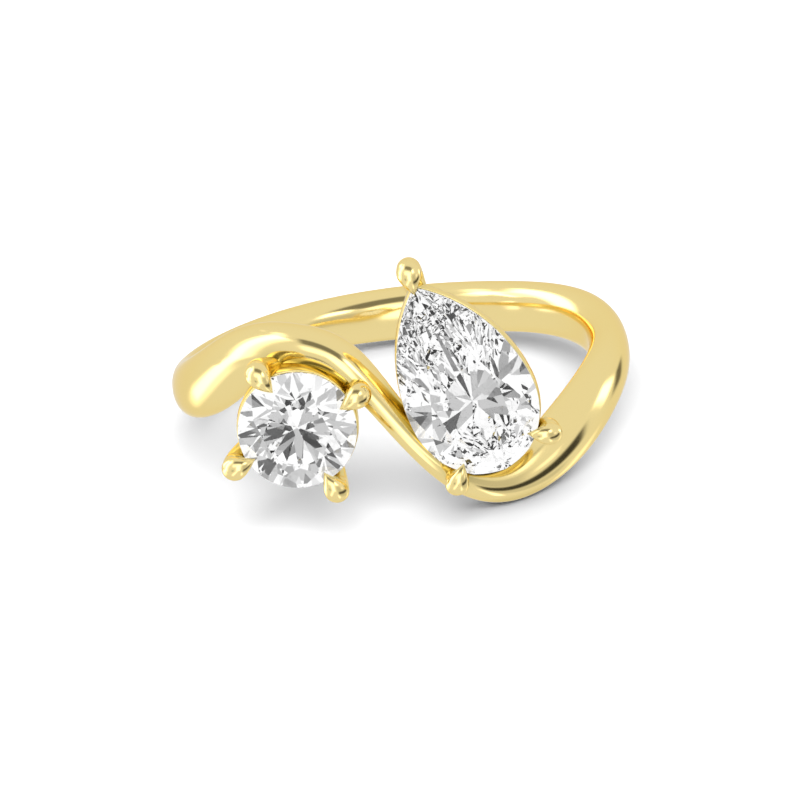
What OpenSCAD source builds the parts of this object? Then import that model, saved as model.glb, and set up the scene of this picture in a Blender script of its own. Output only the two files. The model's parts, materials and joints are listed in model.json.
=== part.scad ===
// Two-stone bypass ring: a curved gold wire band, a round stone and a pear-shaped stone.
// Units: millimetres. The ring lies on its side on z = 0, with its stones towards -y.
// Inside the modules the finger axis is z and each stone's table faces -y.

/* [Finger hole] */
// Diameter of the finger hole
finger_hole_diameter = 17.3; // [14:0.1:23]

/* [Band] */
// Share of the wire's inner half that is left when the hole is cut
inner_share = 0.95; // [0.8:0.01:0.98]
// Squareness of the wire's section, where 2 is an ellipse
section_power = 2.1; // [1.8:0.1:3]
// Scale of the band's S-curve along the finger
wave_scale = 1; // [0.5:0.05:1.2]

/* [Round stone] */
// Girdle diameter of the round stone
round_diameter = 5.1; // [4:0.1:6]
// Height of its girdle over the wall of the finger hole
round_lift = 2.35; // [2:0.05:3.2]

/* [Pear stone] */
// Width of the pear stone
pear_width = 5.55; // [4.5:0.05:6.5]
// Length of the pear stone
pear_length = 8.9; // [7:0.1:10.5]
// Distance from its widest line to its round end
pear_belly = 3.2; // [2.4:0.05:3.8]
// Height of its girdle over the wall of the finger hole
pear_lift = 2.45; // [2.2:0.05:3.2]
// Lean of its point away from the finger axis, in degrees
pear_lean = 21.5; // [0:0.5:45]

/* [Claws] */
// Thickness of a claw beside the stone
claw_thickness = 0.95; // [0.6:0.05:1.1]
// Width of a claw over the stone
claw_width = 1.05; // [0.6:0.05:1.2]

/* [Fit] */
// Gap between a stone and its setting
stone_gap = 0.03; // [0.02:0.01:0.1]

/* [Rest] */
// Turn about x that lays the ring on its side, in degrees
rest_tilt = -8.5; // [-20:0.1:20]
// Turn about y that lays the ring on its side, in degrees
rest_roll = 1.52; // [-20:0.1:20]
// Shift that brings the bottom centre to the origin
rest_shift = [-0.1, 0.83, 3.065];

/* [Output] */
// Which piece to make

/* [Hidden] */
GOLD = [0.9, 0.76, 0.42];
DIAMOND = [0.9, 0.93, 0.96];

hole_radius = finger_hole_diameter / 2;
round_radius = round_diameter / 2;
round_height = hole_radius + round_lift;
pear_height = hole_radius + pear_lift;

// The band's wire round the finger, from the back over the round stone to the front and on.
// columns: angle from the front, offset along the finger, width, thickness
BAND = [
    [-180, -0.10, 2.50, 2.00],
    [-150, -0.25, 2.35, 1.95],
    [-115, -0.55, 2.55, 1.80],
    [-90, -0.15, 2.40, 1.60],
    [-68, 0.65, 2.75, 1.75],
    [-52, 1.80, 2.80, 1.95],
    [-38, 3.10, 2.45, 2.05],
    [-24, 3.45, 2.00, 2.10],
    [-12, 2.75, 1.60, 2.10],
    [0, 0.15, 1.30, 2.05],
    [12, -2.25, 1.45, 2.10],
    [24, -3.20, 1.90, 2.10],
    [38, -2.75, 2.45, 2.10],
    [52, -1.75, 2.80, 2.00],
    [68, -0.75, 2.75, 1.90],
    [90, -0.10, 2.65, 1.80],
    [115, 0.30, 2.55, 1.85],
    [150, 0.15, 2.40, 2.00]
];
ANGLE = 0;
OFFSET = 1;
WIDTH = 2;
THICKNESS = 3;
BAND_STEPS = 112;
SECTION_STEPS = 20;

// A collar's wall, as a closed section.
// columns: growth from the stone's outline, depth under the girdle, share of the lean to the band
COLLAR = [
    [-0.12, 0.20, 0],
    [-0.42, 0.50, 0],
    [-0.42, 1.00, 0],
    [-0.90, 2.25, 1],
    [-0.45, 2.25, 1],
    [0.02, 1.35, 0.15],
    [0.08, 0.70, 0],
    [0.04, 0.20, 0]
];
COLLAR_STEPS = 40;

// A claw's path in the plane through the stone's centre.
// columns: distance outside the girdle, height over it, width share, thickness share, lean share
CLAW = [
    [-0.60, -2.15, 0.85, 0.7, 1],
    [0.15, -1.15, 1, 1, 0.2],
    [0.43, -0.40, 1.05, 1.05, 0],
    [0.38, 0.20, 1.05, 1.05, 0],
    [0.14, 0.56, 1, 0.85, 0],
    [-0.22, 0.60, 0.7, 0.55, 0],
    [-0.52, 0.48, 0.15, 0.18, 0]
];
CLAW_SUBSTEPS = 2;
CLAW_SIDES = 10;

// Facet layout of a brilliant cut
GIRDLE_STEPS = 64;
MAINS = 8;
GIRDLE_HALF = 0.09;
CROWN_SHARE = 0.15;
PAVILION_SHARE = 0.43;
TABLE_INSET_SHARE = 0.215;
STAR_SHARE = 0.68;
LOWER_SHARE = 0.8;

// Where each stone stands: across, along the finger, in front of the finger axis, turn.
round_place = [-4.25, 0.4, round_height, 0];
pear_place = [3.3, 0.95, pear_height, pear_lean];
// How far each collar's foot leans to the band: across, along the finger.
round_foot = [0.3, 0.6];
pear_foot = [0.2, -0.8];

// Claws round each stone, with angles from the side of the stone's point.
// columns: angle on the girdle, angle of reach, extra distance outside, the same at the foot, size
ROUND_CLAWS = [
    [64, 59, 0.05, 0, 1],
    [-27, -36, 0, 0, 1],
    [-117, -112, 0.1, 0, 1],
    [152, 152, 0.05, 0, 1]
];
PEAR_CLAWS = [
    [12, 12, 0.25, -0.3, 1],
    [136, 118, 0.08, 0, 0.87],
    [-140, -137, 0, 0, 0.95]
];

// Numbers

function wrap(i, n) = (i % n + n) % n;

function signed_power(x, p) = sign(x) * pow(abs(x), p);

// A closed table's station i, with its angle carried past a full turn.
function band_angle(i) = BAND[wrap(i, len(BAND))][ANGLE] + 360 * floor(i / len(BAND));

function band_slope(i, column) =
    let (
        before = band_angle(i) - band_angle(i - 1),
        after = band_angle(i + 1) - band_angle(i),
        here = BAND[wrap(i, len(BAND))][column],
        rise_in = (here - BAND[wrap(i - 1, len(BAND))][column]) / before,
        rise_out = (BAND[wrap(i + 1, len(BAND))][column] - here) / after
    )
    (rise_in * after + rise_out * before) / (before + after);

// Smooth value of one column at any angle.
function band_value(angle, column) =
    let (
        turn = wrap(angle + 180, 360) - 180,
        i = max([for (k = [0 : len(BAND) - 1]) if (BAND[k][ANGLE] <= turn) k]),
        span = band_angle(i + 1) - band_angle(i),
        u = (turn - band_angle(i)) / span,
        a = BAND[i][column],
        b = BAND[wrap(i + 1, len(BAND))][column]
    )
    a * (2 * u * u * u - 3 * u * u + 1)
        + b * (3 * u * u - 2 * u * u * u)
        + span * band_slope(i, column) * (u * u * u - 2 * u * u + u)
        + span * band_slope(i + 1, column) * (u * u * u - u * u);

function unit(v) = v / norm(v);

// Shared solids

// Closes a stack of rings, each with the same number of points, into a tube with two ends.
module tube(rings) {
    n = len(rings[0]);
    m = len(rings);
    polyhedron(
        points = [for (ring = rings) for (p = ring) p],
        faces = concat(
            [[for (i = [0 : n - 1]) i]],
            [for (k = [0 : m - 2]) for (i = [0 : n - 1])
                for (half = [0, 1]) wall_face(k, i, n, k + 1, half)],
            [[for (i = [n - 1 : -1 : 0]) (m - 1) * n + i]]
        )
    );
}

// Closes a ring of sections into a band without ends.
module loop(sections) {
    n = len(sections[0]);
    m = len(sections);
    polyhedron(
        points = [for (ring = sections) for (p = ring) p],
        faces = [for (k = [0 : m - 1]) for (i = [0 : n - 1])
            for (half = [0, 1]) wall_face(k, i, n, wrap(k + 1, m), half)]
    );
}

// One triangle of the wall between ring k and ring next.
function wall_face(k, i, n, next, half) =
    let (j = wrap(i + 1, n))
    half == 0
        ? [k * n + i, next * n + j, k * n + j]
        : [k * n + i, next * n + i, next * n + j];

// Outlines
// An outline point is [across, along], the stone's point being along +.

function pear_reach() = pear_length - pear_belly;

function pear_arc_radius() =
    (pear_width * pear_width / 4 + pear_reach() * pear_reach()) / pear_width;

function pear_arc_centre() = pear_arc_radius() - pear_width / 2;

// Point of the pear's outline at share f of its length, with its outward normal.
function pear_girdle(f) =
    let (
        big = pear_arc_radius(),
        turn = acos(pear_arc_centre() / big),
        arc = big * turn * PI / 180,
        whole = 2 * arc + pear_width / 2 * PI,
        side = f > 0.5 ? -1 : 1,
        s = (f > 0.5 ? 1 - f : f) * whole,
        phi = turn - s / big * 180 / PI,
        psi = (s - arc) / (pear_width / 2) * 180 / PI
    )
    s < 0.0001
        ? [[0, pear_reach()], [0, 1 / cos(turn)]]
        : s < arc
            ? [[side * (big * cos(phi) - pear_arc_centre()), big * sin(phi)],
               [side * cos(phi), sin(phi)]]
            : [[side * pear_width / 2 * cos(psi), -pear_belly * sin(psi)],
               unit([side * pear_belly * cos(psi), -pear_width / 2 * sin(psi)])];

function round_girdle(f) =
    [round_radius * [sin(360 * f), cos(360 * f)], [sin(360 * f), cos(360 * f)]];

// The pear's outline grown by g, as a ring of 4 m points.
function pear_ring(g, m) =
    let (
        big = pear_arc_radius() + g,
        centre = pear_arc_centre(),
        turn = acos(centre / big)
    )
    concat(
        [for (k = [0 : m - 1])
            let (a = turn * (1 - k / m)) [big * cos(a) - centre, big * sin(a)]],
        [for (k = [0 : 2 * m])
            [(pear_width / 2 + g) * cos(90 * k / m), -(pear_belly + g) * sin(90 * k / m)]],
        [for (k = [1 : m - 1])
            let (a = turn * k / m) [centre - big * cos(a), big * sin(a)]]
    );

function round_ring(g, m) =
    [for (k = [0 : 4 * m - 1])
        (round_radius + g) * [sin(90 * k / m), cos(90 * k / m)]];

// Brilliant cut
// Each bezel and main lies in a plane through a girdle point and level along the outline there.

// Where two level lines, through p and q with normals m and n, cross.
function crossing(p, m, q, n) =
    let (
        a = p * m,
        b = q * n,
        d = m[0] * n[1] - m[1] * n[0]
    )
    [(a * n[1] - b * m[1]) / d, (m[0] * b - n[0] * a) / d];

// Height at point p of the plane through three points.
function plane_height(a, b, c, p) =
    let (n = cross(b - a, c - a))
    a[2] - (n[0] * (p[0] - a[0]) + n[1] * (p[1] - a[1])) / n[2];

module brilliant(girdle, width, grow) {
    crown = width * CROWN_SHARE;
    pavilion = width * PAVILION_SHARE;
    half = GIRDLE_HALF + 0.6 * grow;
    inset = width * TABLE_INSET_SHARE;
    per = GIRDLE_STEPS / MAINS;
    rim = [for (i = [0 : GIRDLE_STEPS - 1])
        let (g = girdle(i / GIRDLE_STEPS)) g[0] + grow * g[1]];
    at = [for (k = [0 : MAINS - 1]) rim[k * per]];
    way = [for (k = [0 : MAINS - 1]) unit(girdle(k / MAINS)[1])];
    table = [for (k = [0 : MAINS - 1])
        let (p = at[k] - inset * girdle(k / MAINS)[1]) [p[0], p[1], half + crown]];
    star = [for (k = [0 : MAINS - 1])
        let (
            j = wrap(k + 1, MAINS),
            pk = at[k] + STAR_SHARE * ([table[k][0], table[k][1]] - at[k]),
            pj = at[j] + STAR_SHARE * ([table[j][0], table[j][1]] - at[j]),
            p = crossing(pk, way[k], pj, way[j])
        ) [p[0], p[1], half + STAR_SHARE * crown]];
    deep = [for (k = [0 : MAINS - 1])
        let (
            j = wrap(k + 1, MAINS),
            p = crossing(at[k] * (1 - LOWER_SHARE), way[k], at[j] * (1 - LOWER_SHARE), way[j])
        ) [p[0], p[1], -half - LOWER_SHARE * pavilion]];
    culet = [0, 0, -half - pavilion];
    // The girdle's edges follow the planes of the upper and lower halves.
    top = [for (i = [0 : GIRDLE_STEPS - 1])
        rim_point(rim, i, per, star[floor(i / per)], half)];
    base = [for (i = [0 : GIRDLE_STEPS - 1])
        rim_point(rim, i, per, deep[floor(i / per)], -half)];
    // Where each ring of corners starts in the list of points.
    table_from = 0;
    star_from = MAINS;
    top_from = 2 * MAINS;
    base_from = top_from + GIRDLE_STEPS;
    deep_from = base_from + GIRDLE_STEPS;
    tip = deep_from + MAINS;
    function next_main(k) = wrap(k + 1, MAINS);
    function next_rim(i) = wrap(i + 1, GIRDLE_STEPS);
    polyhedron(
        points = concat(table, star, top, base, deep, [culet]),
        faces = concat(
            [[for (k = [0 : MAINS - 1]) table_from + k]],
            [for (k = [0 : MAINS - 1]) [table_from + k, star_from + k, table_from + next_main(k)]],
            [for (k = [0 : MAINS - 1])
                [table_from + next_main(k), star_from + k, top_from + next_main(k) * per]],
            [for (k = [0 : MAINS - 1]) [table_from + k, top_from + k * per, star_from + k]],
            [for (i = [0 : GIRDLE_STEPS - 1])
                [star_from + floor(i / per), top_from + i, top_from + next_rim(i)]],
            [for (i = [0 : GIRDLE_STEPS - 1]) [top_from + i, base_from + i, top_from + next_rim(i)]],
            [for (i = [0 : GIRDLE_STEPS - 1])
                [top_from + next_rim(i), base_from + i, base_from + next_rim(i)]],
            [for (i = [0 : GIRDLE_STEPS - 1])
                [deep_from + floor(i / per), base_from + next_rim(i), base_from + i]],
            [for (k = [0 : MAINS - 1])
                [tip, base_from + next_main(k) * per, deep_from + k]],
            [for (k = [0 : MAINS - 1]) [tip, deep_from + k, base_from + k * per]]
        )
    );
}

// A girdle edge point, on the plane of the half facet that ends there.
function rim_point(rim, i, per, corner, level) =
    let (
        n = len(rim),
        half = per / 2,
        a = floor(i / half) * half,
        b = wrap(a + half, n),
        p = rim[i],
        pa = [rim[a][0], rim[a][1], level],
        pb = [rim[b][0], rim[b][1], level]
    )
    [p[0], p[1], i == a ? level : plane_height(corner, pa, pb, p)];

// Placing

// Lays the finished ring on its side.
module at_rest() {
    translate(rest_shift)
        rotate([rest_tilt, rest_roll, 0])
            children();
}

// Stone axes [across, along, up] to ring axes, with up towards the front.
function head_point(place, p) =
    let (
        c = cos(place[3]),
        s = sin(place[3]),
        x = p[0] * c - p[1] * s,
        y = p[0] * s + p[1] * c
    )
    [place[0] + x, -place[2] - p[2], place[1] + y];

module at_head(place) {
    translate([place[0], -place[2], place[1]])
        rotate([90, 0, 0])
            rotate([0, 0, place[3]])
                children();
}

// Gold

function band_centre(angle) =
    let (
        b = band_value(angle, THICKNESS) / (1 + inner_share),
        r = hole_radius + inner_share * b
    )
    [r * sin(angle), -r * cos(angle), wave_scale * band_value(angle, OFFSET)];

function band_section(angle) =
    let (
        half = band_value(angle, THICKNESS) / (1 + inner_share),
        width = band_value(angle, WIDTH),
        centre = band_centre(angle),
        out = [sin(angle), -cos(angle), 0],
        along = unit(band_centre(angle + 0.5) - band_centre(angle - 0.5)),
        side = unit(cross(along, out))
    )
    [for (k = [0 : SECTION_STEPS - 1])
        let (a = 360 * k / SECTION_STEPS, p = 2 / section_power)
        centre + half * signed_power(cos(a), p) * out
            + width / 2 * signed_power(sin(a), p) * side];

module band() {
    loop([for (k = [0 : BAND_STEPS - 1])
        band_section(360 * k / BAND_STEPS)]);
}

module collar(ring, place, foot) {
    rows = [for (row = COLLAR)
        let (points = ring(row[0], COLLAR_STEPS / 4))
        [for (p = points) head_point(place, [p[0], p[1], -row[1]])
            + row[2] * [foot[0], 0, foot[1]]]];
    loop([for (i = [0 : COLLAR_STEPS - 1]) [for (row = rows) row[i]]]);
}

// Smooth path through the claw's table, at station i and share u.
function claw_row(i) = CLAW[min(max(i, 0), len(CLAW) - 1)];

function claw_value(i, u) =
    let (
        a = claw_row(i - 1),
        b = claw_row(i),
        c = claw_row(i + 1),
        d = claw_row(i + 2)
    )
    0.5 * (2 * b + (c - a) * u + (2 * a - 5 * b + 4 * c - d) * u * u
        + (3 * b - a - 3 * c + d) * u * u * u);

CLAW_ROWS = concat(
    [for (i = [0 : len(CLAW) - 2]) for (k = [0 : CLAW_SUBSTEPS - 1])
        claw_value(i, k / CLAW_SUBSTEPS)],
    [CLAW[len(CLAW) - 1]]
);

// A claw that stands at the girdle point edge, as one row of a claw table says.
module claw(place, foot, edge, stand) {
    last = len(CLAW_ROWS) - 1;
    way = [sin(stand[1]), cos(stand[1])];
    across = [-way[1], way[0]];
    thickness = claw_thickness * stand[4];
    width = claw_width * stand[4];
    tube([for (i = [0 : last])
        let (
            row = CLAW_ROWS[i],
            next = CLAW_ROWS[min(i + 1, last)],
            before = CLAW_ROWS[max(i - 1, 0)],
            run = unit([next[0] - before[0], next[1] - before[1]]),
            thin = [run[1], -run[0]]
        )
        [for (k = [0 : CLAW_SIDES - 1])
            let (
                a = 360 * k / CLAW_SIDES,
                out = row[0] + stand[2] * (1 - row[4]) + stand[3] * row[4]
                    + thickness / 2 * row[3] * cos(a) * thin[0],
                up = row[1] + thickness / 2 * row[3] * cos(a) * thin[1],
                off = width / 2 * row[2] * sin(a),
                p = edge + out * way + off * across
            )
            head_point(place, [p[0], p[1], up]) + row[4] * [foot[0], 0, foot[1]]]]);
}

module round_head() {
    collar(function (g, m) round_ring(g, m), round_place, round_foot);
    for (stand = ROUND_CLAWS)
        claw(round_place, round_foot, round_radius * [sin(stand[0]), cos(stand[0])], stand);
}

module pear_head() {
    collar(function (g, m) pear_ring(g, m), pear_place, pear_foot);
    for (stand = PEAR_CLAWS)
        let (
            edge = cos(stand[0]) > 0
                ? [0, pear_reach()]
                : [pear_width / 2 * sin(stand[0]), pear_belly * cos(stand[0])]
        )
        claw(pear_place, pear_foot, edge, stand);
}

module gold_mount() {
    color(GOLD)
        at_rest()
            difference() {
                union() {
                    band();
                    round_head();
                    pear_head();
                }
                round_stone(stone_gap);
                pear_stone(stone_gap);
                cylinder(h = 40, r = hole_radius, center = true, $fn = 180);
            }
}

// Stones

module round_stone(grow) {
    at_head(round_place)
        brilliant(function (f) round_girdle(f), round_diameter, grow);
}

module pear_stone(grow) {
    at_head(pear_place)
        brilliant(function (f) pear_girdle(f), pear_width, grow);
}

module round_diamond() {
    color(DIAMOND)
        at_rest()
            round_stone(0);
}

module pear_diamond() {
    color(DIAMOND)
        at_rest()
            pear_stone(0);
}

gold_mount();
round_diamond();
pear_diamond();
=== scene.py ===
"""A two-stone bypass ring in yellow gold, lying on its side.

The gold is drawn here as smooth pieces: the wire of the band, a collar round each stone and the claws that
hold the stones. The two diamonds are the frame's own faceted solids with a diamond finish.
Sizes are in millimetres in the ring's own axes: z along the finger, and the stones' tables towards -y.
"""

import json
import logging
import math
from dataclasses import dataclass
from enum import Enum
from typing import Any, Callable, NamedTuple

import bmesh
import bpy
from mathutils import Matrix, Vector

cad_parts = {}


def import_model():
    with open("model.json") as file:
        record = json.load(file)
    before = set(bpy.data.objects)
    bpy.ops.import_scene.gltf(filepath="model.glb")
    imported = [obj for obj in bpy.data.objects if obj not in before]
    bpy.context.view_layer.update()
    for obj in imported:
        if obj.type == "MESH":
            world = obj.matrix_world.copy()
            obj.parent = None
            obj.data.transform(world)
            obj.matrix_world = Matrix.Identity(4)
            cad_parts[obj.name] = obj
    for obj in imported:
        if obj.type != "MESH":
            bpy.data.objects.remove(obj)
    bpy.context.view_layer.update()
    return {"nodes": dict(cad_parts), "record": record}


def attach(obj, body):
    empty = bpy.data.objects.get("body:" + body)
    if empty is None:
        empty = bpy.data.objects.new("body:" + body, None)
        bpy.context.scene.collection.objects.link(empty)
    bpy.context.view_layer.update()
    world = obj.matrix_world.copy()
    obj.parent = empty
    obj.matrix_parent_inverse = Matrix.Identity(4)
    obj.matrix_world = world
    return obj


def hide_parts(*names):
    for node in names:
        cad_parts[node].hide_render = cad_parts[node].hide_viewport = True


MM = 0.001
BODY = "root"
LIGHT_BOUNCES = 32
MIRROR_BOUNCES = 16

log = logging.getLogger("bypass_ring")


class Slot(Enum):
    """The material slots of the part's record."""

    GOLD = "gold"
    DIAMOND = "diamond"


def soft_max(a: float, b: float, width: float) -> float:
    """The larger of two numbers, with the corner between them rounded.

    Args:
        a: The first number.
        b: The second number.
        width: How far apart the two are where the rounding starts.

    Returns:
        The larger number, or a little more where the two are close.
    """
    near = max(width - abs(a - b), 0.0) / width
    return max(a, b) + near * near * width / 4


@dataclass(frozen=True)
class RestPose:
    """How the ring, modelled round an upright finger axis, lies on its side."""

    tilt: float = -8.5
    roll: float = 1.52
    shift: tuple[float, float, float] = (-0.1, 0.83, 3.065)

    def turn(self) -> Matrix:
        """Returns the turn that lays the ring down."""
        tilted = Matrix.Rotation(math.radians(self.tilt), 4, "X")
        return Matrix.Rotation(math.radians(self.roll), 4, "Y") @ tilted

    def matrix(self) -> Matrix:
        """Returns the way from the ring's own millimetres to the frame's metres."""
        return Matrix.Scale(MM, 4) @ Matrix.Translation(self.shift) @ self.turn()


REST = RestPose()


def wrap_sheet(
    around: int, along: int, place: Callable[[float, float], Vector], weld: float = 1e-4
) -> bmesh.types.BMesh:
    """Lays a flat grid over a closed surface and welds its seams.

    Args:
        around: Cells across the sheet.
        along: Cells down the sheet.
        place: Gives the point for a share across and a share down, both from 0 to 1.
        weld: Points nearer than this become one.

    Returns:
        The closed surface, with its faces pointing outwards.
    """
    shell = bmesh.new()
    bmesh.ops.create_grid(shell, x_segments=around, y_segments=along, size=0.5)
    for vertex in shell.verts:
        vertex.co = place(vertex.co.x + 0.5, vertex.co.y + 0.5)
    bmesh.ops.remove_doubles(shell, verts=shell.verts[:], dist=weld)
    bmesh.ops.recalc_face_normals(shell, faces=shell.faces[:])
    return shell


def finish_piece(
    name: str, shell: bmesh.types.BMesh, material: bpy.types.Material, slot: Slot
) -> bpy.types.Object:
    """Turns a surface in the ring's millimetres into a piece of the frame.

    Args:
        name: The piece's name.
        shell: The surface, which is used up.
        material: Its finish.
        slot: The record's slot that the finish stands for; not used.

    Returns:
        The piece, which rides on the part's one body.
    """
    bmesh.ops.transform(shell, matrix=REST.matrix(), verts=shell.verts[:])
    for face in shell.faces:
        face.smooth = True
    mesh = bpy.data.meshes.new(name)
    shell.to_mesh(mesh)
    shell.free()
    mesh.materials.append(material)
    piece = bpy.data.objects.new(name, mesh)
    # The stones return the room's light and none of the gold behind them.
    piece.visible_transmission = False
    bpy.context.scene.collection.objects.link(piece)
    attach(piece, BODY)
    log.info("%s: %d faces", name, len(mesh.polygons))
    return piece


class Station(NamedTuple):
    """One section of the band's wire."""

    angle: float
    offset: float
    width: float
    thickness: float


@dataclass(frozen=True)
class LoopSpline:
    """A smooth closed curve of numbers through a table of angles, with no jump in its bend."""

    angles: tuple[float, ...]
    values: tuple[float, ...]
    slopes: tuple[float, ...]

    @classmethod
    def through(
        cls, angles: tuple[float, ...], values: tuple[float, ...], sweeps: int = 40
    ) -> "LoopSpline":
        """Works out the slopes that keep the bend the same on both sides of each station.

        Args:
            angles: Rising angles in degrees, less than a full turn in all.
            values: The value at each angle.
            sweeps: Times that the slopes are relaxed.

        Returns:
            The curve.
        """
        count = len(angles)
        spans = [(angles[(i + 1) % count] - angles[i]) % 360 for i in range(count)]
        rises = [(values[(i + 1) % count] - values[i]) / spans[i] for i in range(count)]
        slopes = list(rises)
        for _ in range(sweeps):
            for i in range(count):
                before, after = 1 / spans[i - 1], 1 / spans[i]
                pull = 3 * (rises[i - 1] * before + rises[i] * after)
                pull -= before * slopes[i - 1] + after * slopes[(i + 1) % count]
                slopes[i] = pull / (2 * (before + after))
        return cls(angles, values, tuple(slopes))

    def at(self, angle: float) -> float:
        """Returns the curve's value at any angle in degrees."""
        start = self.angles[0]
        angle = (angle - start) % 360 + start
        count = len(self.angles)
        i = max(k for k in range(count) if self.angles[k] <= angle)
        j = (i + 1) % count
        span = (self.angles[j] - self.angles[i]) % 360
        u = (angle - self.angles[i]) / span
        v = 1 - u
        blend = self.values[i] * v * v * (1 + 2 * u) + self.values[j] * u * u * (1 + 2 * v)
        return blend + span * u * v * (self.slopes[i] * v - self.slopes[j] * u)


@dataclass(frozen=True)
class Band:
    """The curved wire round the finger, with its hole.

    The stations are the wire's sections, by the angle from the front. They weren't chosen by hand: a program
    fitted them to the ring's outline, and they are rounded to 0.05 mm. The inner share is how much of a
    section's inner half stands clear of the hole. The rest is pressed on the hole's wall, and the crease is
    how softly. The way along the wire is read between two points nearby, which is in degrees.
    """

    hole_diameter: float = 17.3
    inner_share: float = 0.95
    section_power: float = 2.1
    crease: float = 0.12
    stations: tuple[Station, ...] = (
        Station(-180, -0.10, 2.50, 2.00),
        Station(-150, -0.25, 2.35, 1.95),
        Station(-115, -0.55, 2.55, 1.80),
        Station(-90, -0.15, 2.40, 1.60),
        Station(-68, 0.65, 2.75, 1.75),
        Station(-52, 1.80, 2.80, 1.95),
        Station(-38, 3.10, 2.45, 2.05),
        Station(-24, 3.45, 2.00, 2.10),
        Station(-12, 2.75, 1.60, 2.10),
        Station(0, 0.15, 1.30, 2.05),
        Station(12, -2.25, 1.45, 2.10),
        Station(24, -3.20, 1.90, 2.10),
        Station(38, -2.75, 2.45, 2.10),
        Station(52, -1.75, 2.80, 2.00),
        Station(68, -0.75, 2.75, 1.90),
        Station(90, -0.10, 2.65, 1.80),
        Station(115, 0.30, 2.55, 1.85),
        Station(150, 0.15, 2.40, 2.00),
    )
    steps: int = 420
    sides: int = 96
    nearby: float = 0.5

    def curve(self, column: str) -> LoopSpline:
        """Returns one column of the stations as a smooth closed curve."""
        angles = tuple(station.angle for station in self.stations)
        return LoopSpline.through(angles, tuple(getattr(station, column) for station in self.stations))

    def build(self) -> bmesh.types.BMesh:
        """Returns the wire's surface."""
        offset, width, thickness = (self.curve(column) for column in ("offset", "width", "thickness"))
        hole = self.hole_diameter / 2
        power = 2 / self.section_power

        def centre(angle: float) -> Vector:
            """Returns the middle of the section at an angle from the front."""
            turn = math.radians(angle)
            reach = hole + self.inner_share * thickness.at(angle) / (1 + self.inner_share)
            return Vector((reach * math.sin(turn), -reach * math.cos(turn), offset.at(angle)))

        def rounded(x: float) -> float:
            """Returns a sine or cosine squared off to the section's power."""
            return math.copysign(abs(x) ** power, x)

        def place(across: float, down: float) -> Vector:
            """Returns the point at a share round the finger and a share round the section."""
            angle, turn = 360 * across, 2 * math.pi * down
            middle = centre(angle)
            outward = Vector((math.sin(math.radians(angle)), -math.cos(math.radians(angle)), 0))
            along = centre(angle + self.nearby) - centre(angle - self.nearby)
            side = along.cross(outward).normalized()
            half = thickness.at(angle) / (1 + self.inner_share)
            point = middle + half * rounded(math.cos(turn)) * outward
            point += width.at(angle) / 2 * rounded(math.sin(turn)) * side
            reach = math.hypot(point.x, point.y)
            grown = soft_max(reach, hole, self.crease) / reach
            return Vector((point.x * grown, point.y * grown, point.z))

        return wrap_sheet(self.steps, self.sides, place)

    def make(self, gold: bpy.types.Material) -> bpy.types.Object:
        """Returns the wire as a piece, which with the settings stands for the frame's one gold solid."""
        band = finish_piece("band", self.build(), gold, Slot.GOLD)
        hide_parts("gold_mount")
        return band


class Outline:
    """A stone's girdle seen from its table, with its point, if it has one, towards +y."""

    def point(self, share: float, growth: float) -> Vector:
        """Returns the point at a share of the way round, on the outline grown by some millimetres."""
        raise NotImplementedError

    def edge(self, angle: float) -> Vector:
        """Returns the point of the girdle that a claw at this angle stands at."""
        raise NotImplementedError


@dataclass(frozen=True)
class RoundOutline(Outline):
    """A round stone's girdle."""

    diameter: float

    def point(self, share: float, growth: float) -> Vector:
        """Returns a point on the grown circle."""
        turn = 2 * math.pi * share
        return Vector((math.sin(turn), math.cos(turn))) * (self.diameter / 2 + growth)

    def edge(self, angle: float) -> Vector:
        """Returns the girdle's point in the direction of an angle from the point's side."""
        return self.point(angle / 360, 0)


@dataclass(frozen=True)
class PearOutline(Outline):
    """A pear stone's girdle: half an ellipse, and two long arcs that meet in a point."""

    width: float
    length: float
    belly: float

    def arc(self, growth: float) -> tuple[float, float, float]:
        """Returns the long arc's radius, its centre's distance from the axis, and its half angle."""
        reach = self.length - self.belly
        radius = (self.width**2 / 4 + reach**2) / self.width
        centre = radius - self.width / 2
        return radius + growth, centre, math.acos(centre / (radius + growth))

    def point(self, share: float, growth: float) -> Vector:
        """Returns a point on the grown outline, from the stone's point round by +x."""
        side = 1 if share <= 0.5 else -1
        share = share if share <= 0.5 else 1 - share
        radius, centre, turn = self.arc(growth)
        if share < 0.25:
            angle = turn * (1 - share * 4)
            return Vector((side * (radius * math.cos(angle) - centre), radius * math.sin(angle)))
        angle = math.pi / 2 * (share * 4 - 1)
        across = (self.width / 2 + growth) * math.cos(angle)
        return Vector((side * across, -(self.belly + growth) * math.sin(angle)))

    def edge(self, angle: float) -> Vector:
        """Returns the stone's point for a claw near it, and otherwise the round end's edge."""
        turn = math.radians(angle)
        if math.cos(turn) > 0:
            return Vector((0, self.length - self.belly))
        return Vector((math.sin(turn) * self.width / 2, math.cos(turn) * self.belly))


class CollarRow(NamedTuple):
    """One corner of a collar's wall: growth of the outline, depth under the girdle, share of the lean."""

    growth: float
    depth: float
    lean: float


class ClawRow(NamedTuple):
    """One station of a claw's wire, in the claw's upright plane: place, size and share of the lean."""

    outside: float
    height: float
    size: float
    lean: float


class ClawSection(NamedTuple):
    """One oval section of a claw, in the claw's upright plane."""

    outside: float
    height: float
    half_width: float
    half_thickness: float
    lean: float


class ClawPlace(NamedTuple):
    """A claw's place on the girdle and the way it reaches, as angles from the side of the stone's point."""

    angle: float
    reach: float
    extra: float
    foot_extra: float
    size: float


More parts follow.
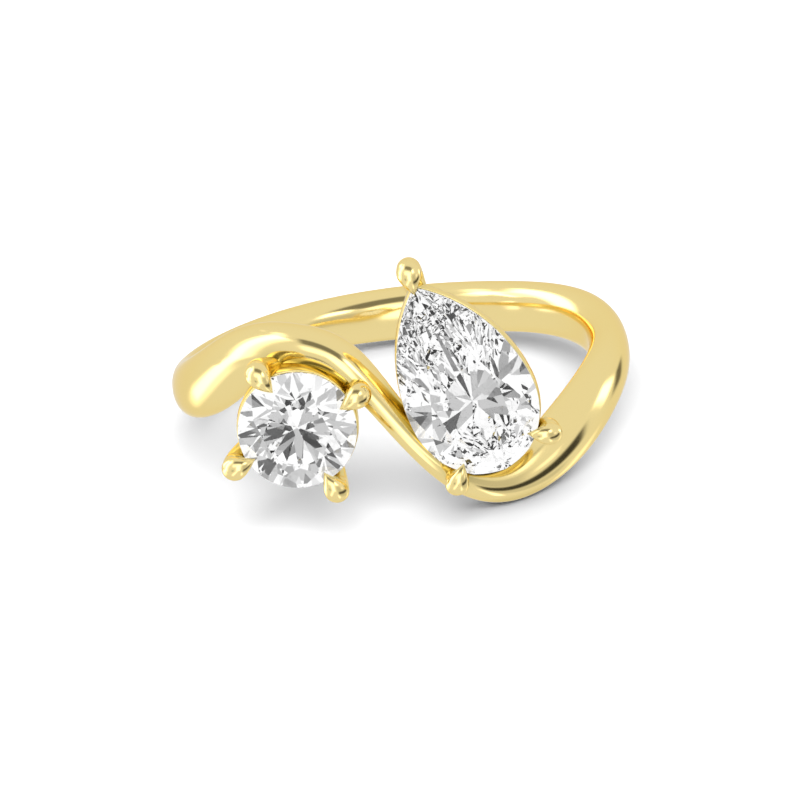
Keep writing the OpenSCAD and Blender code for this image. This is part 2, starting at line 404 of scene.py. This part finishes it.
COLLAR_ROWS = (
    CollarRow(-0.12, 0.20, 0),
    CollarRow(-0.42, 0.50, 0),
    CollarRow(-0.42, 1.00, 0),
    CollarRow(-0.90, 2.25, 1),
    CollarRow(-0.45, 2.25, 1),
    CollarRow(0.02, 1.35, 0.15),
    CollarRow(0.08, 0.70, 0),
    CollarRow(0.04, 0.20, 0),
)

CLAW_ROWS = (
    ClawRow(-0.60, -2.15, 0.75, 1),
    ClawRow(0.15, -1.15, 1.00, 0.2),
    ClawRow(0.45, -0.45, 1.04, 0),
    ClawRow(0.44, 0.05, 1.04, 0),
    ClawRow(0.38, 0.34, 0.80, 0),
    ClawRow(0.34, 0.46, 0.00, 0),
)


@dataclass(frozen=True)
class Head:
    """A stone's setting: a collar under its girdle, and the claws that fold over its edge.

    The head stands across and along the ring, at a height over the finger axis, with the stone's point
    turned from that axis. The foot is how far the collar's lower edge leans to the band. A bead is a drop
    along a curved path: its point is how sharply it narrows, and a claw that stands further out dips its
    bead to the stone. A claw's run is read between two shares of its path nearby.
    """

    name: str
    outline: Outline
    across: float
    along: float
    height: float
    turn: float
    foot: tuple[float, float]
    claws: tuple[ClawPlace, ...]
    claw_width: float = 1.0
    bead_width: float = 1.08
    bead_thickness: float = 0.92
    bead_point: float = 1.2
    bead_full: float = 1.33
    bead_path: tuple[tuple[float, float], ...] = ((-0.52, 0.48), (0.30, 0.80), (0.90, -0.05))
    bead_dip: float = 0.8
    collar_steps: int = 160
    rim_round: float = 0.03
    rim_segments: int = 3
    rim_angle: float = 20.0
    shaft_sides: int = 32
    shaft_steps: int = 50
    bead_sides: int = 40
    bead_steps: int = 40
    nearby: float = 0.01

    def lift(self, point: Vector, up: float, lean: float) -> Vector:
        """Takes a point from the stone's axes to the ring's.

        Args:
            point: Across and along the stone.
            up: Height over the girdle's middle.
            lean: Share of the foot's lean to the band.

        Returns:
            The point round the finger axis.
        """
        cos, sin = math.cos(math.radians(self.turn)), math.sin(math.radians(self.turn))
        x = point.x * cos - point.y * sin
        y = point.x * sin + point.y * cos
        return Vector(
            (self.across + x + lean * self.foot[0], -self.height - up, self.along + y + lean * self.foot[1])
        )

    def collar(self) -> bmesh.types.BMesh:
        """Returns the collar's closed wall with its edges rounded."""
        count = len(COLLAR_ROWS)

        def place(across: float, down: float) -> Vector:
            """Returns a corner of the wall at a share round the stone."""
            row = COLLAR_ROWS[round(down * count) % count]
            return self.lift(self.outline.point(across % 1, row.growth), -row.depth, row.lean)

        shell = wrap_sheet(self.collar_steps, count, place)
        sharp = [edge for edge in shell.edges if edge.calc_face_angle(0) > math.radians(self.rim_angle)]
        bmesh.ops.bevel(
            shell,
            geom=sharp,
            offset=self.rim_round,
            segments=self.rim_segments,
            profile=0.5,
            affect="EDGES",
            material=-1,
            clamp_overlap=True,
        )
        return shell

    def swept(
        self,
        stand: ClawPlace,
        path: Callable[[float], ClawSection],
        sides: int,
        steps: int,
    ) -> bmesh.types.BMesh:
        """Sweeps an oval section along a path in a claw's own plane.

        Args:
            stand: Where the claw stands.
            path: Gives the section for a share of the way.
            sides: Sides of the section.
            steps: Sections along the path.

        Returns:
            The closed surface.
        """
        reach = math.radians(stand.reach)
        way = Vector((math.sin(reach), math.cos(reach)))
        side = Vector((-way.y, way.x))
        edge = self.outline.edge(stand.angle)

        def place(across: float, down: float) -> Vector:
            """Returns the point at a share round the section and a share along the path."""
            here = path(down)
            before = path(max(down - self.nearby, 0.0))
            after = path(min(down + self.nearby, 1.0))
            run = Vector((after.outside - before.outside, after.height - before.height)).normalized()
            spin = 2 * math.pi * across
            size = 0.0 if down in (0.0, 1.0) else stand.size
            thick = here.half_thickness * math.cos(spin) * size
            wide = here.half_width * math.sin(spin) * size
            out = here.outside + stand.extra * (1 - here.lean) + stand.foot_extra * here.lean
            point = edge + (out + thick * run.y) * way + wide * side
            return self.lift(point, here.height - thick * run.x, here.lean)

        return wrap_sheet(sides, steps, place)

    def shaft(self, stand: ClawPlace) -> bmesh.types.BMesh:
        """Draws a claw's round wire, from its foot in the collar to its end beside the stone."""
        last = len(CLAW_ROWS) - 1

        def path(share: float) -> ClawSection:
            """Returns the wire's section at a share of its length."""
            at = share * last
            i = min(int(at), last - 1)
            u = at - i
            rows = [CLAW_ROWS[min(max(k, 0), last)] for k in (i - 1, i, i + 1, i + 2)]
            out, up, size, lean = (
                b + u * ((c - a) + u * ((2 * a - 5 * b + 4 * c - d) + u * (3 * b - a - 3 * c + d))) / 2
                for a, b, c, d in zip(*rows)
            )
            size = max(size, 0.0)
            if i == last - 1:
                size = CLAW_ROWS[i].size * math.sqrt(max(1 - u * u, 0.0))
            half = size * self.claw_width / 2
            return ClawSection(out, up, half, half, lean)

        return self.swept(stand, path, self.shaft_sides, self.shaft_steps)

    def bead(self, stand: ClawPlace) -> bmesh.types.BMesh:
        """Draws the drop-shaped end that a claw lays on the stone, round outside and pointed inside."""
        tip, bend, back = (Vector(corner) for corner in self.bead_path)
        tip.y -= self.bead_dip * stand.extra

        def path(share: float) -> ClawSection:
            """Returns the drop's section at a share of the way from its point."""
            turn = math.pi * share
            s = (1 - math.cos(turn)) / 2
            middle = (1 - s) ** 2 * tip + 2 * s * (1 - s) * bend + s * s * back
            size = math.sin(turn) * math.sin(turn / 2) ** self.bead_point * self.bead_full
            wide, thick = size * self.bead_width / 2, size * self.bead_thickness / 2
            return ClawSection(middle.x, middle.y, wide, thick, 0.0)

        return self.swept(stand, path, self.bead_sides, self.bead_steps)

    def claw(self, stand: ClawPlace) -> bmesh.types.BMesh:
        """Returns one claw: its wire, and the drop at its end."""
        whole = self.shaft(stand)
        drop = self.bead(stand)
        mesh = bpy.data.meshes.new("drop")
        drop.to_mesh(mesh)
        drop.free()
        whole.from_mesh(mesh)
        bpy.data.meshes.remove(mesh)
        return whole

    def make(self, gold: bpy.types.Material, claw_gold: bpy.types.Material) -> list[bpy.types.Object]:
        """Returns the setting's pieces.

        Args:
            gold: The collar's finish.
            claw_gold: The claws' finish.

        Returns:
            The collar, and one piece for each claw.
        """
        pieces = [finish_piece(f"{self.name}_collar", self.collar(), gold, Slot.GOLD)]
        for number, stand in enumerate(self.claws, start=1):
            name = f"{self.name}_claw_{number}"
            pieces.append(finish_piece(name, self.claw(stand), claw_gold, Slot.GOLD))
        return pieces


ROUND_HEAD = Head(
    name="round",
    outline=RoundOutline(5.1),
    across=-4.25,
    along=0.4,
    height=11.0,
    turn=0.0,
    foot=(0.3, 0.6),
    claws=(
        ClawPlace(64, 59, 0.05, 0, 1),
        ClawPlace(-27, -36, 0, 0, 1),
        ClawPlace(-117, -112, 0.1, 0, 1),
        ClawPlace(152, 152, 0.05, 0, 1),
    ),
)

PEAR_HEAD = Head(
    name="pear",
    outline=PearOutline(5.55, 8.9, 3.2),
    across=3.3,
    along=0.95,
    height=11.1,
    turn=21.5,
    foot=(0.2, -0.8),
    claws=(
        ClawPlace(12, 12, 0.25, -0.3, 1),
        ClawPlace(136, 118, 0.08, 0, 0.87),
        ClawPlace(-140, -137, 0, 0, 0.95),
    ),
)


class Wire:
    """A shader socket that Python's operators join with Math nodes."""

    def __init__(self, graph: "ShaderGraph", socket: bpy.types.NodeSocket | None) -> None:
        """Keeps the socket, which an output node doesn't have, and the graph that it is in."""
        self.graph = graph
        self.socket = socket

    def math(self, operation: str, *others: "Wire | float") -> "Wire":
        """Returns this value joined with others by one Math node."""
        return self.graph.add("ShaderNodeMath", {"operation": operation}, [self, *others])

    def __add__(self, other: "Wire | float") -> "Wire":
        """Returns the sum."""
        return self.math("ADD", other)

    def __radd__(self, other: float) -> "Wire":
        """Returns the sum with a number on the left."""
        return self.math("ADD", other)

    def __sub__(self, other: "Wire | float") -> "Wire":
        """Returns the difference."""
        return self.math("SUBTRACT", other)

    def __rsub__(self, other: float) -> "Wire":
        """Returns a number less this value."""
        return self.graph.add("ShaderNodeMath", {"operation": "SUBTRACT"}, [other, self])

    def __mul__(self, other: "Wire | float") -> "Wire":
        """Returns the product."""
        return self.math("MULTIPLY", other)

    def __rmul__(self, other: float) -> "Wire":
        """Returns the product with a number on the left."""
        return self.math("MULTIPLY", other)

    def __truediv__(self, other: "Wire | float") -> "Wire":
        """Returns the quotient."""
        return self.math("DIVIDE", other)


class ShaderGraph:
    """The nodes of one material or of the world."""

    def __init__(self, tree: bpy.types.NodeTree) -> None:
        """Starts an empty graph in a node tree."""
        self.tree = tree
        tree.nodes.clear()

    def add(
        self,
        kind: str,
        settings: dict[str, Any] | None = None,
        inputs: "dict[str, Any] | list[Any] | None" = None,
        output: str | int = 0,
    ) -> Wire:
        """Adds any node.

        Args:
            kind: The node's type.
            settings: The node's own settings, which are set first.
            inputs: Values or wires for its sockets, by name or in order.
            output: The socket that the result is read from.

        Returns:
            The wire that leaves the node.
        """
        node = self.tree.nodes.new(kind)
        for name, value in (settings or {}).items():
            setattr(node, name, value)
        pairs = inputs.items() if isinstance(inputs, dict) else enumerate(inputs or [])
        for key, value in pairs:
            if isinstance(value, Wire):
                self.tree.links.new(value.socket, node.inputs[key])
            else:
                node.inputs[key].default_value = value
        return Wire(self, node.outputs[output] if len(node.outputs) else None)


# The colour sockets of a Mix node, which share their names with its number sockets.
MIX_FIRST = 6
MIX_SECOND = 7
MIX_RESULT = 2


def grey(level: float) -> tuple[float, float, float, float]:
    """Returns a grey of one level, as a colour socket takes it."""
    return (level, level, level, 1.0)


WHITE = grey(1.0)


def new_material(name: str) -> tuple[bpy.types.Material, ShaderGraph]:
    """Returns an empty material of that name, with its graph."""
    material = bpy.data.materials.new(name)
    material.use_nodes = True
    return material, ShaderGraph(material.node_tree)


@dataclass(frozen=True)
class PolishedGold:
    """Yellow gold, polished by hand: faint swirls, and painted shade in the recesses and between parts,
    where an ambient occlusion node darkens the base colour.

    Lengths are in metres and scales for each metre, as Object coordinates are.
    """

    name: str = "polished_gold"
    colour: tuple[float, float, float] = (0.95, 0.77, 0.345)
    # The painted shade: its colour, how far the occlusion looks, and its samples.
    painted_shade_colour: tuple[float, float, float] = (0.62, 0.53, 0.2)
    painted_shade_reach: float = 0.7 * MM
    painted_shade_samples: int = 4
    edge_tint: tuple[float, float, float] = (0.96, 0.86, 0.62)
    roughness: float = 0.12
    roughness_spread: float = 0.03
    cloud_scale: float = 260.0
    cloud_detail: float = 3.0
    swirl_scale: float = 2600.0
    swirl_detail: float = 2.0
    swirl_height: float = 0.0015 * MM
    swirl_strength: float = 0.3

    def make(self) -> bpy.types.Material:
        """Returns the finish."""
        material, graph = new_material(self.name)
        coordinates = graph.add("ShaderNodeTexCoord", output="Object")
        cloud = graph.add(
            "ShaderNodeTexNoise",
            None,
            {"Vector": coordinates, "Scale": self.cloud_scale, "Detail": self.cloud_detail},
        )
        swirl = graph.add(
            "ShaderNodeTexNoise",
            None,
            {"Vector": coordinates, "Scale": self.swirl_scale, "Detail": self.swirl_detail},
        )
        bump = graph.add(
            "ShaderNodeBump",
            None,
            {"Strength": self.swirl_strength, "Distance": self.swirl_height, "Height": swirl},
        )
        roughness = (cloud - 0.5) * self.roughness_spread + self.roughness
        # Painted shade: the base colour darkens to a dull olive where the gold is closed in, in recesses and
        # between parts.
        unshaded_share = graph.add(
            "ShaderNodeAmbientOcclusion",
            {"samples": self.painted_shade_samples},
            {"Distance": self.painted_shade_reach},
            "AO",
        )
        colour = graph.add(
            "ShaderNodeMix",
            {"data_type": "RGBA"},
            {"Factor": unshaded_share, MIX_FIRST: (*self.painted_shade_colour, 1.0), MIX_SECOND: (*self.colour, 1.0)},
            MIX_RESULT,
        )
        surface = graph.add(
            "ShaderNodeBsdfPrincipled",
            None,
            {
                "Base Color": colour,
                "Metallic": 1.0,
                "Specular Tint": (*self.edge_tint, 1.0),
                "Roughness": roughness,
                "Normal": bump,
            },
        )
        graph.add("ShaderNodeOutputMaterial", None, {"Surface": surface})
        return material


@dataclass(frozen=True)
class CutDiamond:
    """Clear diamond, whose flat facets bend and return the light, with a part of its outer mirror."""

    refraction: float = 2.417
    mirror_share: float = 0.5

    def make(self) -> bpy.types.Material:
        """Returns the finish."""
        material, graph = new_material("cut_diamond")
        surface = graph.add(
            "ShaderNodeBsdfPrincipled",
            None,
            {
                "Base Color": WHITE,
                "Roughness": 0.0,
                "IOR": self.refraction,
                "Specular Tint": grey(self.mirror_share),
                "Transmission Weight": 1.0,
            },
        )
        graph.add("ShaderNodeOutputMaterial", None, {"Surface": surface})
        return material


BAND_GOLD = PolishedGold()
CLAW_GOLD = PolishedGold(name="rubbed_gold", roughness=0.18)


class SoftCard(NamedTuple):
    """A soft-edged card in the surround, as seen from the ring, in degrees.

    The azimuth starts at -y and grows towards +x, and the roll turns the card in its own plane.
    """

    azimuth: float
    elevation: float
    roll: float
    half_width: float
    half_height: float
    softness: float
    level: float


# What the gold mirrors, with the later cards on top.
CARDS = (
    SoftCard(-112, 22, 0, 15, 25, 12, 1.6),
    SoftCard(-122, 22, 0, 11, 23, 9, 2.85),
    SoftCard(-80, 21, 0, 10, 36, 10, 1.8),
    SoftCard(-105, -30, 15, 22, 8, 11, 1.45),
    SoftCard(-110, 60, 0, 8, 4, 7, 1.9),
    SoftCard(-93, 51, 0, 8, 7, 7, 2.6),
    SoftCard(-86, 22, 0, 7, 36, 7, 2.8),
    SoftCard(-108, -22, 28, 16, 7, 8, 2.6),
    SoftCard(-92, -14, 35, 6, 6, 7, 2.6),
    SoftCard(-12, 34, 0, 26, 12, 12, 1.65),
    SoftCard(-3, 9, 0, 12, 24, 8, 2.0),
    SoftCard(-27, -32, -45, 5, 22, 8, 1.8),
    SoftCard(-37, -9, 0, 6, 5, 6, 0.3),
    SoftCard(38, 2, 0, 16, 16, 10, 0.6),
    SoftCard(42, 38, 0, 9, 10, 6, 2.7),
    SoftCard(66, 3, 0, 7, 5, 4, 1.3),
    SoftCard(111, -2, 40, 6, 11, 7, 2.7),
    SoftCard(33, -54, 25, 4, 15, 5, 1.8),
    SoftCard(132, -42, -36, 12, 5, 8, 1.4),
    SoftCard(65, -44, 0, 28, 8, 10, 0.65),
    SoftCard(64, -24, 13, 33, 10, 9, 0.05),
    SoftCard(132, -13, 0, 6, 7, 6, 0.15),
    SoftCard(22, 48, 0, 5, 8, 6, 0.35),
    SoftCard(2, 66, -20, 26, 13, 9, 0.22),
)

# What the stones return, with the later cards on top. These rows weren't chosen by hand: a search gave
# them, by comparing the stones with their picture, and only two of the levels were changed afterwards.
STONE_CARDS = (
    SoftCard(-6, 4, 0, 5, 12, 3, 0.02),
    SoftCard(12, 4, 0, 9, 9, 3, 0.02),
    SoftCard(-18, 16, 0, 9, 9, 3, 0.02),
    SoftCard(-6, -14, 0, 9, 9, 3, 0.26),
    SoftCard(-12, 46, 0, 9, 9, 3, 0.55),
    SoftCard(12, 34, 0, 9, 9, 3, 0.55),
    SoftCard(24, 22, 0, 9, 9, 3, 0.55),
    SoftCard(36, -8, 0, 9, 9, 3, 0.02),
    SoftCard(12, -8, 0, 9, 9, 3, 0.55),
    SoftCard(18, 52, 0, 9, 9, 3, 0.26),
    SoftCard(36, -56, 0, 5, 12, 3, 0.02),
    SoftCard(6, -14, 0, 9, 9, 3, 0.55),
    SoftCard(114, -50, 0, 5, 12, 3, 0.26),
    SoftCard(-24, 4, 0, 9, 9, 3, 0.55),
    SoftCard(-30, 28, 0, 9, 9, 3, 0.55),
    SoftCard(24, 10, 0, 12, 5, 3, 0.55),
    SoftCard(150, -8, 0, 9, 9, 3, 0.26),
    SoftCard(6, -38, 0, 5, 12, 3, 0.55),
    SoftCard(54, 10, 0, 5, 12, 3, 0.26),
    SoftCard(-12, 22, 0, 5, 12, 3, 0.02),
    SoftCard(-6, -20, 0, 6, 6, 3, 1.25),
    SoftCard(-24, -26, 0, 12, 5, 3, 0.26),
    SoftCard(0, 10, 0, 5, 12, 3, 0.55),
    SoftCard(36, -26, 0, 6, 6, 3, 0.26),
)


@dataclass(frozen=True)
class Flag:
    """A small grey card beside the ring that keeps a part of the surround out of the gold."""

    name: str
    middle: tuple[float, float, float]

    def sheet(self) -> bmesh.types.BMesh:
        """Returns the card's flat sheet round the frame's origin, turned the way that it stands."""
        raise NotImplementedError

    def make(self, level: float) -> bpy.types.Object:
        """Returns the card, which only the gold sees.

        Args:
            level: How bright the card is.

        Returns:
            The card, in its place.
        """
        sheet = self.sheet()
        place = Matrix.Translation(Vector(self.middle) * MM)
        bmesh.ops.transform(sheet, matrix=place, verts=sheet.verts[:])
        mesh = bpy.data.meshes.new(self.name)
        sheet.to_mesh(mesh)
        sheet.free()
        card = bpy.data.objects.new(self.name, mesh)
        bpy.context.scene.collection.objects.link(card)
        for ray in ("camera", "diffuse", "transmission", "volume_scatter", "shadow"):
            setattr(card, f"visible_{ray}", False)
        material, graph = new_material(self.name)
        light = graph.add("ShaderNodeEmission", None, {"Color": WHITE, "Strength": level})
        graph.add("ShaderNodeOutputMaterial", None, {"Surface": light})
        mesh.materials.append(material)
        return card


@dataclass(frozen=True)
class StandingFlag(Flag):
    """A card with square corners that stands upright along y."""

    height: float
    length: float

    def sheet(self) -> bmesh.types.BMesh:
        """Returns the upright sheet."""
        sheet = bmesh.new()
        bmesh.ops.create_grid(sheet, x_segments=1, y_segments=1, size=MM / 2)
        bmesh.ops.scale(sheet, vec=(self.height, self.length, 1.0), verts=sheet.verts[:])
        upright = Matrix.Rotation(math.radians(90), 4, "Y")
        bmesh.ops.transform(sheet, matrix=upright, verts=sheet.verts[:])
        return sheet


@dataclass(frozen=True)
class RoundFlag(Flag):
    """A round card that lies level."""

    diameter: float
    sides: int = 96

    def sheet(self) -> bmesh.types.BMesh:
        """Returns the level sheet."""
        sheet = bmesh.new()
        bmesh.ops.create_circle(sheet, cap_ends=True, segments=self.sides, radius=self.diameter / 2 * MM)
        return sheet


FLAGS = (
    StandingFlag("flag_behind_lobe", (-14.3, 0.75, 13.3), 15.4, 12.5),
    StandingFlag("flag_behind_band", (-12.0, 8.0, 5.5), 13.0, 8.0),
    RoundFlag("flag_in_hole", (-0.1, 0.83, -0.05), 18.6),
)


@dataclass(frozen=True)
class Studio:
    """A plain pale floor with one soft lamp, under a soft grey surround with bright and dark cards.

    The floor's size is in metres, and the lamp's spread is the width of its disc in degrees. The least
    depth keeps a direction that lies beside or behind a card from a division by nought.
    """

    floor_size: float = 2.0
    floor_colour: float = 0.8
    lamp_strength: float = 2.8
    lamp_spread: float = 45.0
    lamp_from: tuple[float, float, float] = (0.1, -0.8, 1.0)
    surround_level: float = 0.86
    stone_level: float = 1.06
    least_depth: float = 0.001
    cards: tuple[SoftCard, ...] = CARDS
    stone_cards: tuple[SoftCard, ...] = STONE_CARDS
    flags: tuple[Flag, ...] = FLAGS

    def floor(self) -> bpy.types.Object:
        """Returns the floor, which isn't part of the ring and which the gold doesn't mirror."""
        sheet = bmesh.new()
        bmesh.ops.create_grid(sheet, x_segments=1, y_segments=1, size=self.floor_size / 2)
        mesh = bpy.data.meshes.new("studio_floor")
        sheet.to_mesh(mesh)
        sheet.free()
        floor = bpy.data.objects.new("studio_floor", mesh)
        bpy.context.scene.collection.objects.link(floor)
        floor.visible_glossy = False
        floor.visible_transmission = False
        material, graph = new_material("studio_white")
        paper = graph.add("ShaderNodeBsdfDiffuse", None, {"Color": grey(self.floor_colour)})
        graph.add("ShaderNodeOutputMaterial", None, {"Surface": paper})
        mesh.materials.append(material)
        return floor

    def lamp(self) -> bpy.types.Object:
        """Returns the soft lamp above and in front of the ring, which lights the floor alone."""
        data = bpy.data.lights.new("studio_lamp", "SUN")
        data.energy = self.lamp_strength
        data.angle = math.radians(self.lamp_spread)
        lamp = bpy.data.objects.new("studio_lamp", data)
        bpy.context.scene.collection.objects.link(lamp)
        turn = Vector((0, 0, 1)).rotation_difference(Vector(self.lamp_from))
        lamp.matrix_world = turn.to_matrix().to_4x4()
        lamp.visible_glossy = False
        lamp.visible_transmission = False
        return lamp

    def mask(self, graph: ShaderGraph, look: Wire, card: SoftCard) -> Wire:
        """Returns how much of a card is seen in each direction, from 0 to 1.

        Args:
            graph: The world's graph.
            look: The direction.
            card: The card.

        Returns:
            The card's share.
        """
        azimuth, elevation, roll = (math.radians(angle) for angle in card[:3])
        facing = Vector((
            math.sin(azimuth) * math.cos(elevation),
            -math.cos(azimuth) * math.cos(elevation),
            math.sin(elevation),
        ))
        level = Vector((math.cos(azimuth), math.sin(azimuth), 0))
        upright = facing.cross(level)
        if upright.z < 0:
            upright.negate()
        across = math.cos(roll) * level + math.sin(roll) * upright
        along = math.cos(roll) * upright - math.sin(roll) * level

        def part(axis: Vector) -> Wire:
            """Returns the direction's part along an axis."""
            return graph.add("ShaderNodeVectorMath", {"operation": "DOT_PRODUCT"}, [look, axis], "Value")

        ahead = part(facing)
        depth = ahead.math("MAXIMUM", self.least_depth)
        soft = math.tan(math.radians(card.softness)) / 2
        share = ahead.math("GREATER_THAN", 0.0)
        for axis, half in ((across, card.half_width), (along, card.half_height)):
            edge = math.tan(math.radians(half))
            away = (part(axis) / depth).math("ABSOLUTE")
            share = share * graph.add(
                "ShaderNodeMapRange",
                {"interpolation_type": "SMOOTHSTEP"},
                [away, edge - soft, edge + soft, 1.0, 0.0],
            )
        return share

    def glow(self, graph: ShaderGraph, look: Wire, base: float, cards: tuple[SoftCard, ...]) -> Wire:
        """Returns a surround of one level with its cards laid over it.

        Args:
            graph: The world's graph.
            look: The direction.
            base: The level between the cards.
            cards: The cards, the later ones on top.

        Returns:
            The surround's shader.
        """
        level: Wire | float = base
        for card in cards:
            level = level + self.mask(graph, look, card) * (card.level - level)
        return graph.add("ShaderNodeBackground", None, {"Color": WHITE, "Strength": level})

    def surround(self) -> None:
        """Lights the scene from all round, with more contrast for what the stones return."""
        world = bpy.data.worlds.new("studio_surround")
        world.use_nodes = True
        bpy.context.scene.world = world
        graph = ShaderGraph(world.node_tree)
        look = graph.add("ShaderNodeTexCoord", output="Generated")
        # Only the stones are perfectly smooth, so a singular ray is one that comes from a stone.
        stone_ray = graph.add("ShaderNodeLightPath", output="Is Singular Ray")
        room = self.glow(graph, look, self.surround_level, self.cards)
        stone_room = self.glow(graph, look, self.stone_level, self.stone_cards)
        surface = graph.add("ShaderNodeMixShader", None, [stone_ray, room, stone_room])
        graph.add("ShaderNodeOutputWorld", None, {"Surface": surface})
        for flag in self.flags:
            flag.make(self.surround_level)


@dataclass(frozen=True)
class Viewpoint:
    """The photograph's camera, placed in the ring's own axes.

    Angles are in degrees, and lengths in millimetres but for the nearest and furthest view, in metres.
    """

    azimuth: float = 1.57
    elevation: float = 15.52
    roll: float = -5.15
    distance: float = 191.83
    lens: float = 190.97
    sensor: float = 36.0
    nearest: float = 0.01
    furthest: float = 10.0
    aim_across: float = 0.08
    aim_up: float = -1.64

    def make(self) -> bpy.types.Object:
        """Returns the camera, and makes it the scene's own."""
        a, e, r = (math.radians(angle) for angle in (self.azimuth, self.elevation, self.roll))
        back = Vector((math.sin(a) * math.cos(e), -math.cos(a) * math.cos(e), math.sin(e)))
        level = Vector((math.cos(a), math.sin(a), 0))
        upright = back.cross(level)
        right = math.cos(r) * level + math.sin(r) * upright
        up = back.cross(right)
        place = self.aim_across * right + self.aim_up * up + self.distance * back
        axes = Matrix((right, up, back)).transposed().to_4x4()
        data = bpy.data.cameras.new("viewpoint")
        data.sensor_width = self.sensor
        data.lens = self.lens
        data.clip_start = self.nearest
        data.clip_end = self.furthest
        camera = bpy.data.objects.new("viewpoint", data)
        bpy.context.scene.collection.objects.link(camera)
        camera.matrix_world = Matrix.Translation(REST.matrix() @ place) @ REST.turn() @ axes
        bpy.context.scene.camera = camera
        return camera


def dress_stones(frame: dict[str, Any]) -> None:
    """Gives the frame's own faceted stones, which are the record's diamond parts, their finish."""
    diamond = CutDiamond().make()
    for part in frame["record"]["subparts"]:
        if part["material_slot"] != Slot.DIAMOND.value:
            continue
        stone = frame["nodes"][part["node"]]
        stone.material_slots[0].material = diamond
        log.info("%s: %d faces", part["node"], len(stone.data.polygons))


def main() -> None:
    """Builds the ring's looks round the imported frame."""
    logging.basicConfig(level=logging.INFO, format="%(message)s")
    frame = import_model()
    Viewpoint().make()
    gold = BAND_GOLD.make()
    claw_gold = CLAW_GOLD.make()
    Band().make(gold)
    for head in (ROUND_HEAD, PEAR_HEAD):
        head.make(gold, claw_gold)
    dress_stones(frame)
    studio = Studio()
    studio.floor()
    studio.lamp()
    studio.surround()
    scene = bpy.context.scene
    scene.view_settings.view_transform = "Standard"
    scene.cycles.max_bounces = LIGHT_BOUNCES
    scene.cycles.transmission_bounces = LIGHT_BOUNCES
    scene.cycles.glossy_bounces = MIRROR_BOUNCES
    scene.cycles.caustics_reflective = False
    scene.cycles.caustics_refractive = False
    scene.cycles.use_denoising = True


if __name__ == "__main__":
    main()
